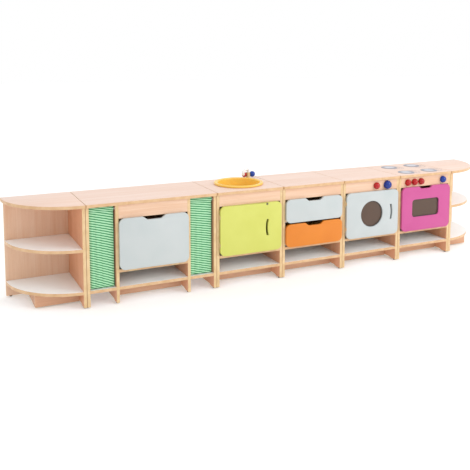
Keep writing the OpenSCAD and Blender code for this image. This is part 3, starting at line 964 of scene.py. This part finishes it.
class KITCHEN_PG_fittings(bpy.types.PropertyGroup):
    red: colour_of("Red", "Red knobs", "#B80A12")
    red_deep: colour_of("Red, deeper", "Where the red drifts darker", "#A4060D")
    blue: colour_of("Blue", "Blue knobs", "#05369A")
    blue_deep: colour_of("Blue, deeper", "Where the blue drifts darker", "#042C84")
    tap_blue: colour_of("Tap blue", "Blue knob of the tap", "#1262B4")
    yellow: colour_of("Basin", "Colour of the basin", "#F9D066")
    yellow_deep: colour_of("Basin, deeper", "Where the basin drifts darker", "#F3C351")
    hob_rim: colour_of("Hob rim", "Outer ring of the hob plates", "#9C9DA8")
    hob_core: colour_of("Hob middle", "Middle of the hob plates", "#D2D2DA")
    steel: colour_of("Steel", "Rods, rings, runners and screws", "#C9CBCC")
    coat: colour_of("Hinge coat", "Powder coat of the hinges", "#E0C498")
    coat_deep: colour_of("Hinge coat, deeper", "Where the coat is thinner", "#D6B88A")
    hob_rings: IntProperty(
        name="Hob rings", description="Raised rings on each hob plate", default=4, min=1, max=9
    )
    recess: size_of("Screw recess", "Width of the cross in a screw's head", 0.007, 0.002, 0.01)


class KITCHEN_PG_stage(bpy.types.PropertyGroup):
    floor: colour_of("Floor", "Colour of the studio floor", "#F4F4F4")
    glow: FloatProperty(
        name="Floor glow", description="Strength of the floor's own light", default=0.2, min=0,
        max=2,
    )
    sky: FloatProperty(
        name="Room light", description="Strength of the even light from all round",
        default=1.0, min=0, max=5,
    )
    key: FloatProperty(
        name="Key light", description="Power of the large light at the front right",
        default=135, min=0, max=5000, subtype="POWER", unit="POWER",
    )
    eye: FloatVectorProperty(
        name="Camera place", description="Where the camera stands", size=3,
        default=(-2.1563, -3.9392, 1.4382), subtype="TRANSLATION", unit="LENGTH",
    )
    yaw: FloatProperty(
        name="Camera turn", description="Turn of the camera towards +X", unit="ROTATION",
        default=math.radians(25.1302), subtype="ANGLE",
    )
    tilt: FloatProperty(
        name="Camera tilt", description="How far the camera looks down", unit="ROTATION",
        default=math.radians(6.0829), subtype="ANGLE",
    )
    lens: FloatProperty(
        name="Lens", description="Focal length on a 36 mm sensor", default=52.4354, min=10,
        max=300, unit="CAMERA",
    )
    drop: FloatProperty(
        name="Shift", description="Upright shift of the camera's sensor", default=-0.2302
    )


# ---------------------------------------------------------------- operators


class KITCHEN_OT_boards(bpy.types.Operator):
    """Finish the carcass: end shelves, sides, shelves, plinths, backs, fascias and tops"""

    bl_idname = "kitchen.boards"
    bl_label = "Boards"

    def execute(self, context):
        s = context.scene.kitchen_boards
        # The upright boards take a darker, more saturated copy of the beech foil: painted shade.
        upright = beech_foil("beech_foil_upright_painted_shade", s.shaded_side_light, s.shaded_side_dark, 2)
        along = beech_foil("beech_foil_along", s.foil_light, s.foil_dark, 0)
        back = beech_foil("beech_foil_back", s.foil_light, s.foil_dark, 2)
        low = beech_foil("beech_foil_plinth", s.plinth_light, s.plinth_dark, 0)
        top = beech_foil("worktop_beech_foil", s.top_light, s.top_dark, 0, shine=0.4)
        shelf = shelf_melamine("shelf_melamine", s.shelf_light, s.shelf_dark)
        tape = edge_tape("beech_edge_tape", s.tape_light, s.tape_dark)
        lying = edge_tape("beech_edge_tape_lying", s.lying_light, s.lying_dark)
        rows = [
            ("end_sides", (SIDE,), upright, "beech"),
            ("curtain_unit_panels", (SIDE,), upright, "beech"),
            ("unit_sides", (SIDE,), upright, "beech"),
            ("bottom_shelves", (FLAT,), shelf, "shelf_board"),
            ("cupboard_floors", (FLAT,), shelf, "shelf_board"),
            ("plinths", (FRONT,), low, "beech"),
            ("back_boards", (FRONT,), along, "beech"),
            ("plain_fascias", (FRONT,), along, "beech"),
            ("washer_fascia", (FRONT,), along, "beech"),
            ("cooker_fascia", (FRONT,), along, "beech"),
        ]
        rows += [
            (node, (FLAT,), top, "worktop_beech")
            for node in ("curtain_unit_top", "sink_top", "drawer_top", "washer_top", "cooker_top")
        ]
        for end in ("left_end_", "right_end_"):
            rows += [
                (end + "back", (FRONT,), back, "beech"),
                (end + "shelves", (FLAT,), shelf, "shelf_board"),
                (end + "plinth", (SIDE, FRONT), low, "beech"),
                (end + "top", (FLAT,), top, "worktop_beech"),
            ]
        for node, axes, face, slot in rows:
            board_piece(node, axes, face, lying if FLAT in axes else tape, s.edge)
        return {"FINISHED"}


class KITCHEN_OT_fronts(bpy.types.Operator):
    """Finish the flap, the doors and the drawer fronts in coloured lacquer"""

    bl_idname = "kitchen.fronts"
    bl_label = "Coloured fronts"

    def execute(self, context):
        s = context.scene.kitchen_fronts
        grey = sprayed_lacquer("grey_board_lacquer", s.grey, s.grey_deep)
        for node, finish, slot in (
            ("flap", grey, "grey_board"),
            ("washer_door", grey, "grey_board"),
            ("upper_drawer_front", grey, "grey_board"),
            ("sink_door", sprayed_lacquer("lime_board_lacquer", s.lime, s.lime_deep),
             "lime_board"),
            ("lower_drawer_front",
             sprayed_lacquer("orange_board_lacquer", s.orange, s.orange_deep), "orange_board"),
            ("oven_door", sprayed_lacquer("pink_board_lacquer", s.pink, s.pink_deep),
             "pink_board"),
        ):
            shape = copy_of(node)
            ease(shape, s.round, 3)
            number_boards(shape)
            piece(node + "_panel", shape, body_of_node(node), [finish], [node])
        return {"FINISHED"}


class KITCHEN_OT_windows(bpy.types.Operator):
    """Finish the acrylic windows and the dark rings round them, painted shade of their openings
    """

    bl_idname = "kitchen.windows"
    bl_label = "Windows"

    def execute(self, context):
        s = context.scene.kitchen_fronts
        acrylic = smoked_acrylic("smoked_acrylic", s.window)
        # The rings' dark grey is painted shade for the inner edges of the window openings.
        shade_ring = moulded_plastic(
            "window_shade_ring_painted", paint("#4A4644"), paint("#3C3937"), shine=0.6
        )
        for node in ("washer_window", "oven_window"):
            shape = copy_of(node)
            ease(shape, 0.0004, 1)
            piece(
                node + "_pane", shape, body_of_node(node), [acrylic], [node]
            )
        # Each dark ring lies in the door's opening, whose half sizes and corner radius are given,
        # against the pane, and stands as painted shade for the opening's inner edge: its section
        # is (inset, depth) pairs from the opening's outline and the pane's face.
        section = ((0.0002, 0.0), (0.0002, -0.0036), (0.0010, -0.0046), (0.0022, -0.0042),
                   (0.0031, -0.0022), (0.0034, 0.0))
        for node, half_wide, half_high, radius, body in (
            ("washer_window", 89 * MM, 89 * MM, 89 * MM, "washer_door_leaf"),
            ("oven_window", 118 * MM, 62 * MM, 22 * MM, "oven_door_leaf"),
        ):
            middle, face = middle_of(node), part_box(node)[0].y
            shape = bmesh.new()
            hoop(shape, [
                rounded_outline(
                    middle, half_wide - inset, half_high - inset, radius - inset, face + depth,
                    count=24 if radius > 0.05 else 8,
                )
                for inset, depth in section
            ])
            bmesh.ops.remove_doubles(shape, verts=shape.verts, dist=1e-6)
            piece(node + "_shade_ring", shape, body, [shade_ring], smooth=50)
        return {"FINISHED"}


class KITCHEN_OT_drawers(bpy.types.Operator):
    """Finish the drawers' birch boxes"""

    bl_idname = "kitchen.drawers"
    bl_label = "Drawer boxes"

    def execute(self, context):
        low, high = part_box("upper_drawer_box")
        middle, half = (low + high) / 2, (high - low) / 2
        face = beech_foil("birch_ply_face", paint("#F3DDB8"), paint("#E8CB9C"), 0, shine=0.5)
        edge = ply_edge("birch_ply_edge", paint("#EBCF9F"), paint("#B98A57"), middle, half)
        for node in ("upper_drawer_box", "lower_drawer_box"):
            shape = copy_of(node)
            ease(shape, 0.0006, 1)
            number_boards(shape)
            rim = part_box(node)[1].z
            for side in shape.faces:
                at_rim = side.normal.z > 0.999 and side.calc_center_median().z > rim - 0.001
                side.material_index = 1 if at_rim else 0
            piece(node + "_ply", shape, body_of_node(node), [face, edge], [node])
        return {"FINISHED"}


class KITCHEN_OT_curtains(bpy.types.Operator):
    """Hang a striped cotton curtain on each rod"""

    bl_idname = "kitchen.curtains"
    bl_label = "Curtains"

    def execute(self, context):
        s = context.scene.kitchen_curtains
        cotton = striped_cotton("striped_cotton", s.light, s.dark, s.pitch, s.narrow)
        for number, side in enumerate(("left", "right")):
            node = side + "_curtain"
            low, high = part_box(node)
            rod = middle_of(side + "_curtain_ring")
            wide = high.x - low.x
            shape, flat = curtain_cloth(s, number, low, wide, rod)
            made = piece(
                node + "_cloth", shape, "carcass", [cotton], [node],
                smooth=180,
            )
            thick = made.modifiers.new("cloth thickness", "SOLIDIFY")
            thick.thickness, thick.offset = s.cloth, 0.0
            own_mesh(made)
        return {"FINISHED"}


class KITCHEN_OT_basin(bpy.types.Operator):
    """Turn the yellow basin with its rolled rim"""

    bl_idname = "kitchen.basin"
    bl_label = "Basin"

    def execute(self, context):
        s = context.scene.kitchen_fittings
        low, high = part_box("basin")
        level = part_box("sink_top")[1].z
        rim = (high.x - low.x) / 2
        inner, bend, wall = rim - 24.5 * MM, 48 * MM, 3.5 * MM
        floor = low.z - level
        turn_at = (inner + wall - bend, floor + bend)
        profile = [(0.0, floor)]
        profile += arc(turn_at, bend, -90, 0, 14)
        profile += [(inner + wall, -1 * MM), (inner + wall + 1 * MM, 0.0)]
        profile += arc((rim - 7.5 * MM, 7.5 * MM), 7.5 * MM, -90, 80, 12)
        profile += [(rim - 10 * MM, 14.7 * MM), (rim - 14 * MM, 14.1 * MM)]
        profile += arc((inner + 7 * MM, 6.6 * MM), 7 * MM, 80, 180, 8)
        profile += arc(turn_at, bend - wall, 0, -90, 14)
        profile += [(26 * MM, floor + wall), (24.5 * MM, floor + wall - 0.4 * MM),
                    (23.5 * MM, floor + wall - 1.4 * MM), (0.0, floor + wall - 1.5 * MM)]
        middle = middle_of("basin")
        plastic = moulded_plastic(
            "yellow_polypropylene", s.yellow, s.yellow_deep, shine=0.28, glow=0.15
        )
        turned(
            "basin_bowl", "basin", profile, stand((middle.x, middle.y, level)), 128,
            "yellow_plastic", plastic,
        )
        return {"FINISHED"}


class KITCHEN_OT_tap(bpy.types.Operator):
    """Turn the tap's post and its two knobs, and bend its spout"""

    bl_idname = "kitchen.tap"
    bl_label = "Tap"

    def execute(self, context):
        s = context.scene.kitchen_fittings
        low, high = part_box("tap_post")
        middle = (low + high) / 2
        self.post(low, high, middle)
        self.spout(Vector((middle.x, middle.y, high.z + 0.3 * MM)))
        for node, code, deep, axis, slot in (
            ("red_tap_knob", s.red, s.red_deep, "-X", "red_paint"),
            ("blue_tap_knob", s.tap_blue, s.blue, "X", "blue_paint"),
        ):
            low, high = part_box(node)
            ball = (high.z - low.z) / 2
            near = 15 * MM
            start = math.degrees(math.asin(-0.8))
            profile = [(0.0, 3 * MM), (4 * MM, 3 * MM), (4 * MM, near)]
            profile += arc((0.0, near + 0.8 * ball), ball, start, 90, 26)
            profile[-1] = (0.0, near + 1.8 * ball)
            finish = sprayed_lacquer(
                node + "_gloss_lacquer", code, deep, shine=0.2, peel=4.0
            )
            turned(
                node + "_ball", node, profile,
                stand((middle.x, middle.y, (low.z + high.z) / 2), axis), 48, slot, finish,
            )
        return {"FINISHED"}

    def post(self, low, high, middle):
        """The beech post, with a foot that spreads on the worktop."""
        tall = high.z - low.z
        shape = bmesh.new()
        profile = [(0.0, 0.0), (22 * MM, 0.0), (22 * MM, 2.4 * MM)]
        profile += arc((20.4 * MM, 2.4 * MM), 1.6 * MM, 0, 90, 4)
        profile += [(15.2 * MM, 4.1 * MM), (14 * MM, 5.4 * MM), (14 * MM, tall - 1.6 * MM)]
        profile += arc((12.4 * MM, tall - 1.6 * MM), 1.6 * MM, 0, 90, 4)
        profile += [(0.0, tall)]
        turn(shape, profile, stand((middle.x, middle.y, low.z)), 48)
        number_boards(shape)
        wood = beech_foil("turned_beech", paint("#E3CDA4"), paint("#CDB286"), 2, shine=0.35)
        piece("tap_post_turned", shape, "carcass", [wood], ["tap_post"], smooth=40)

    def spout(self, foot):
        """The bent tube, hollow at its outlet, with a collar round its foot."""
        # It rises from the post, bends level, and bends down to its outlet, half way
        # between the row's left and its front.
        away = Vector((-math.sqrt(0.5), -math.sqrt(0.5), 0.0))
        line = [(0.0, 0.0), (0.0, 0.6), (0.0, 5.0)]
        line += [(18 - x, 6 + z) for x, z in arc((0.0, 0.0), 18, 0, 90, 12)]
        line += [(x, 24.0) for x in (34, 49, 64)]
        line += [(80 + x, 7 + z) for x, z in arc((0.0, 0.0), 17, 90, 0, 12)]
        line += [(97.0, 0.0), (97.0, -4.2), (97.0, -5.0)]
        path = [foot + (away * x + Vector((0.0, 0.0, z))) * MM for x, z in line]
        radii = [8.4 * MM, 9 * MM] + [9 * MM] * (len(path) - 4) + [9 * MM, 8.3 * MM]
        sides = 32
        shape = bmesh.new()
        rings = sweep(shape, path, radii, sides)
        shape.faces.new(list(reversed(rings[0])))
        last, mouth = rings[-1], path[-1]
        for reach, lift in ((7.0, 0.0), (6.2, 0.8), (6.0, 9.0)):
            ring = [
                shape.verts.new(
                    mouth + (v.co - mouth).normalized() * reach * MM
                    + Vector((0.0, 0.0, lift * MM))
                )
                for v in rings[-1]
            ]
            for i in range(sides):
                j = (i + 1) % sides
                shape.faces.new([last[i], last[j], ring[j], ring[i]])
            last = ring
        shape.faces.new(last)
        bmesh.ops.recalc_face_normals(shape, faces=shape.faces)
        collar = [(8.6 * MM, 0.0), (10.8 * MM, 0.0), (11.2 * MM, 0.5 * MM),
                  (11.2 * MM, 2.0 * MM), (10.6 * MM, 2.6 * MM), (8.6 * MM, 2.9 * MM)]
        turns = [math.tau * i / 48 for i in range(48)]
        hoop(shape, [
            [foot + Vector((r * math.cos(a), r * math.sin(a), h)) for a in turns]
            for r, h in collar
        ])
        white = moulded_plastic(
            "white_abs", paint("#F1F1EE"), paint("#E6E7E6"), shine=0.25, glow=0.05
        )
        piece(
            "tap_spout_tube", shape, "spout", [white], ["tap_spout"],
            smooth=40,
        )


class KITCHEN_OT_knobs(bpy.types.Operator):
    """Turn the washing machine's and the cooker's ball knobs"""

    bl_idname = "kitchen.knobs"
    bl_label = "Knobs"

    def execute(self, context):
        s = context.scene.kitchen_fittings
        red, blue = (
            sprayed_lacquer(name, colour, deep, shine=0.2, peel=4.0)
            for name, colour, deep in (
                ("red_gloss_lacquer", s.red, s.red_deep),
                ("blue_gloss_lacquer", s.blue, s.blue_deep),
            )
        )
        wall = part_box("plain_fascias")[0].y
        for node in ("washer_red_knob", "washer_blue_knob", "cooker_knob_1", "cooker_knob_2",
                     "cooker_knob_3", "cooker_blue_knob"):
            low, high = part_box(node)
            ball = (high.x - low.x) / 2
            deep = high.y - wall
            start = math.degrees(math.asin(-0.2))
            profile = [(0.0, -deep), (8 * MM, -deep), (8 * MM, 4 * MM - deep),
                       (4 * MM, 4 * MM - deep), (4 * MM, 1 * MM), (0.93 * ball, 1 * MM)]
            profile += arc((0.0, 1 * MM + 0.2 * ball), ball, start + 3, 90, 30)
            profile[-1] = (0.0, 1 * MM + 1.2 * ball)
            centre = (low + high) / 2
            slot, finish = ("blue_paint", blue) if "blue" in node else ("red_paint", red)
            turned(
                node + "_ball", node, profile, stand((centre.x, wall, centre.z), "-Y"), 56,
                slot, finish,
            )
        return {"FINISHED"}


class KITCHEN_OT_hob(bpy.types.Operator):
    """Make the four hob plates and their raised rings"""

    bl_idname = "kitchen.hob"
    bl_label = "Hob plates"

    def execute(self, context):
        s = context.scene.kitchen_fittings
        plates = islands("hob_discs")
        radius = (plates[0][1].x - plates[0][0].x) / 2
        tall = plates[0][1].z - plates[0][0].z
        centres = [Vector(((a.x + b.x) / 2, (a.y + b.y) / 2, b.z)) for a, b in plates]
        film = hob_film("silver_hob_film", s.hob_rim, s.hob_core, centres, radius)
        shape = bmesh.new()
        for centre in centres:
            profile = [(0.0, -tall), (radius, -tall), (radius, -0.7 * MM)]
            profile += arc((radius - 0.7 * MM, -0.7 * MM), 0.7 * MM, 0, 90, 4)
            profile += [(0.4 * radius, 0.0), (0.0, 0.0)]
            turn(shape, profile, stand(centre), 96)
        piece("hob_plates", shape, "carcass", [film], ["hob_discs"], smooth=40)
        scatter(
            "hob_plate_rings", ring_tree(), centres, [(0, 0, 1)] * 4, "carcass", "hob_grey",
            film, Inner_Radius=0.22 * radius, Outer_Radius=0.9 * radius, Count=s.hob_rings,
        )
        return {"FINISHED"}


class KITCHEN_OT_fixings(bpy.types.Operator):
    """Fit the screws and glides, and finish the rods, rings, hinges, runners and lock"""

    bl_idname = "kitchen.fixings"
    bl_label = "Fixings"

    def execute(self, context):
        s = context.scene.kitchen_fittings
        steel = rolled_steel("zinc_plated_steel", s.steel, paint("#A9ACAE"))
        black = moulded_plastic(
            "black_glide_plastic", paint("#1E1D1C"), paint("#161515"), shine=0.5
        )
        nickel = rolled_steel("lock_nickel", paint("#8E8A70"), paint("#6E6B55"), shine=0.35)
        screws = screw_tree()
        joints = islands("connecting_screws")
        scatter(
            "connecting_screw_set", screws,
            [(high.x - 3 * MM, (low.y + high.y) / 2, (low.z + high.z) / 2)
             for low, high in joints],
            [(1, 0, 0)] * len(joints), "carcass", "steel", steel, ["connecting_screws"],
            Head_Radius=6 * MM, Head_Height=3 * MM, Shank_Length=37 * MM, Recess=s.recess,
        )
        feet = islands("glides")
        scatter(
            "glide_set", glide_tree(),
            [((low.x + high.x) / 2, (low.y + high.y) / 2, low.z) for low, high in feet],
            [(0, 0, 1)] * len(feet), "carcass", "glide_plastic", black, ["glides"],
            Radius=(feet[0][1].x - feet[0][0].x) / 2, Height=feet[0][1].z - feet[0][0].z,
        )
        coat = powder_coat("beige_powder_coat", s.coat, s.coat_deep)
        for nodes, finish in (
            (("curtain_rods", "left_curtain_ring", "right_curtain_ring", "drawer_runners"),
             steel),
            (("carcass_hinges", "flap_hinge", "sink_door_hinge", "washer_door_hinge",
              "oven_door_hinge"), coat),
        ):
            for node in nodes:
                refinish(node, finish)
        refinish("door_lock", nickel)
        return {"FINISHED"}


class KITCHEN_OT_stage(bpy.types.Operator):
    """Lay the pale floor, and set the studio's lights and camera"""

    bl_idname = "kitchen.stage"
    bl_label = "Stage"

    def execute(self, context):
        s = context.scene.kitchen_stage
        scene = context.scene
        scene.view_settings.view_transform = "Standard"
        made, tree, shader = finish_of(
            "studio_floor_paint", Roughness=0.9, Specular_IOR_Level=0.1,
            Emission_Color=s.floor, Emission_Strength=s.glow,
        )
        # Matt emulsion on a backlit panel: pale, even and without reflections.
        place = add(tree, "ShaderNodeTexCoord").outputs["Object"]
        drift = add(tree, "ShaderNodeTexNoise", {"Vector": place, "Scale": 0.4})
        pale = s.floor
        colour = add(
            tree, "ShaderNodeMix",
            {0: drift.outputs["Fac"], 6: pale, 7: [c * 0.99 for c in pale[:3]] + [1.0]},
            data_type="RGBA",
        )
        feed(tree, shader, Base_Color=colour.outputs[2])
        shape = bmesh.new()
        bmesh.ops.create_grid(shape, x_segments=2, y_segments=2, size=30.0)
        bmesh.ops.translate(shape, verts=shape.verts, vec=(0.0, 0.0, -0.0004))
        mesh = bpy.data.meshes.new("studio_floor")
        shape.to_mesh(mesh)
        shape.free()
        mesh.materials.append(made)
        floor = bpy.data.objects.new("studio_floor", mesh)
        scene.collection.objects.link(floor)

        world = bpy.data.worlds.new("studio_room")
        world.use_nodes = True
        scene.world = world
        air = world.node_tree
        room = air.nodes["Background"]
        room.inputs["Color"].default_value = (1.0, 1.0, 1.0, 1.0)
        room.inputs["Strength"].default_value = s.sky
        seen = add(air, "ShaderNodeBackground", {"Color": (1.0, 1.0, 1.0, 1.0), "Strength": 1.0})
        rays = add(air, "ShaderNodeLightPath")
        both = add(
            air, "ShaderNodeMixShader",
            {0: rays.outputs["Is Camera Ray"], 1: room.outputs[0], 2: seen.outputs[0]},
        )
        air.links.new(both.outputs[0], air.nodes["World Output"].inputs["Surface"])

        lamp = bpy.data.lights.new("key_light", "AREA")
        lamp.shape, lamp.size, lamp.energy = "SQUARE", 3.2, s.key
        light = bpy.data.objects.new("key_light", lamp)
        light.location = (3.6, -4.6, 3.6)
        ahead = Vector((0.2, 0.0, 0.3)) - light.location
        light.rotation_euler = ahead.to_track_quat("-Z", "Y").to_euler()
        scene.collection.objects.link(light)

        view = bpy.data.cameras.new("camera")
        view.sensor_width, view.lens, view.shift_y = 36.0, s.lens, s.drop
        view.dof.use_dof = False
        camera = bpy.data.objects.new("camera", view)
        camera.location = s.eye
        camera.rotation_euler = (math.pi / 2 - s.tilt, 0.0, -s.yaw)
        scene.collection.objects.link(camera)
        scene.camera = camera
        return {"FINISHED"}


# -------------------------------------------------------------------- panel


STEPS = (
    KITCHEN_OT_boards,
    KITCHEN_OT_fronts,
    KITCHEN_OT_windows,
    KITCHEN_OT_drawers,
    KITCHEN_OT_fixings,
    KITCHEN_OT_curtains,
    KITCHEN_OT_basin,
    KITCHEN_OT_tap,
    KITCHEN_OT_knobs,
    KITCHEN_OT_hob,
    KITCHEN_OT_stage,
)

GROUPS = {
    "kitchen_boards": KITCHEN_PG_boards,
    "kitchen_fronts": KITCHEN_PG_fronts,
    "kitchen_curtains": KITCHEN_PG_curtains,
    "kitchen_fittings": KITCHEN_PG_fittings,
    "kitchen_stage": KITCHEN_PG_stage,
}


class KITCHEN_PT_panel(bpy.types.Panel):
    """Lists the settings and the steps of the play kitchen"""

    bl_idname = "KITCHEN_PT_panel"
    bl_label = "Play kitchen"
    bl_space_type = "VIEW_3D"
    bl_region_type = "UI"
    bl_category = "Play kitchen"

    def draw(self, context):
        for name, group in GROUPS.items():
            box = self.layout.box()
            for label in group.__annotations__:
                box.prop(getattr(context.scene, name), label)
        for step in STEPS:
            self.layout.operator(step.bl_idname)


def register():
    for made in (*GROUPS.values(), *STEPS, KITCHEN_PT_panel):
        bpy.utils.register_class(made)
    for name, group in GROUPS.items():
        setattr(bpy.types.Scene, name, PointerProperty(type=group))


def unregister():
    for name in GROUPS:
        delattr(bpy.types.Scene, name)
    for made in reversed((*GROUPS.values(), *STEPS, KITCHEN_PT_panel)):
        bpy.utils.unregister_class(made)


def main():
    """Registers the add-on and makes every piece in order."""
    register()
    for step in STEPS:
        area, name = step.bl_idname.split(".")
        getattr(getattr(bpy.ops, area), name)()


if __name__ == "__main__":
    main()
